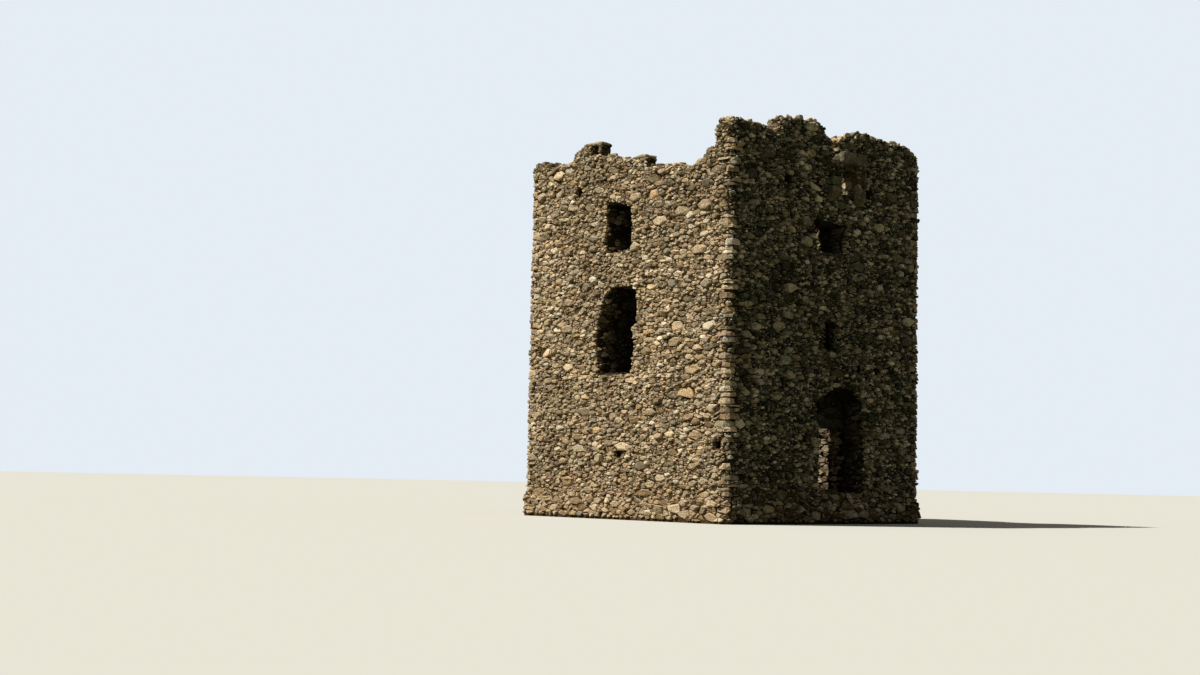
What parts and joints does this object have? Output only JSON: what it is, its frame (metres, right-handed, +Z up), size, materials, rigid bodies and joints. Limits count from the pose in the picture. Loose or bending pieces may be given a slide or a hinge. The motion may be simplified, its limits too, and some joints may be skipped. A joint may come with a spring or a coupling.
{
  "type": "ruined castle keep",
  "caption": "Roofless square tower keep of rubble stone with a broken doorway, window openings on three storeys and a ragged parapet.",
  "frame": {"origin": "middle of the square plan, at the lowest ground that the walls meet", "axes": "+Z up; -Y is the outward side of the entrance wall, -X the outward side of the wall with the large broken window"},
  "size_m": [7.48, 7.62, 10],
  "materials": {
    "rubble": "weathered rubble fieldstone in lime mortar",
    "dressed_stone": "large flat stones, weathered",
    "footing_stone": "large footing stones with an earthy stain",
    "paving": "worn paving and trodden rubble"
  },
  "bodies": {
    "root": {"back_wall_first_floor": "rubble", "back_wall_ground_floor": "rubble", "back_wall_second_floor": "rubble", "box_cheek": "dressed_stone", "box_lintel": "dressed_stone", "corbel_slab": "dressed_stone", "corbels": "dressed_stone", "corner_back_left": "rubble", "corner_back_right": "rubble", "corner_front_left": "rubble", "corner_front_right": "rubble", "door_inner_lintel": "dressed_stone", "door_threshold": "rubble", "footing_back": "footing_stone", "footing_front": "footing_stone", "footing_left": "footing_stone", "footing_right": "footing_stone", "front_wall_first_floor": "rubble", "front_wall_left_of_door": "rubble", "front_wall_right_of_door": "rubble", "front_wall_second_floor": "rubble", "ground_floor": "paving", "left_wall_first_floor": "rubble", "left_wall_ground_floor": "rubble", "left_wall_second_floor": "rubble", "left_window_rear_frame": "rubble", "masonry_over_door": "rubble", "merlon_over_door": "rubble", "parapet_back": "rubble", "parapet_caps": "dressed_stone", "parapet_front_left": "rubble", "parapet_front_right": "rubble", "parapet_left_far": "rubble", "parapet_left_middle": "rubble", "parapet_left_near": "rubble", "parapet_left_stub": "rubble", "parapet_right": "rubble", "right_wall_first_floor": "rubble", "right_wall_ground_floor": "rubble", "right_wall_second_floor": "rubble"}
  },
  "joints": []
}
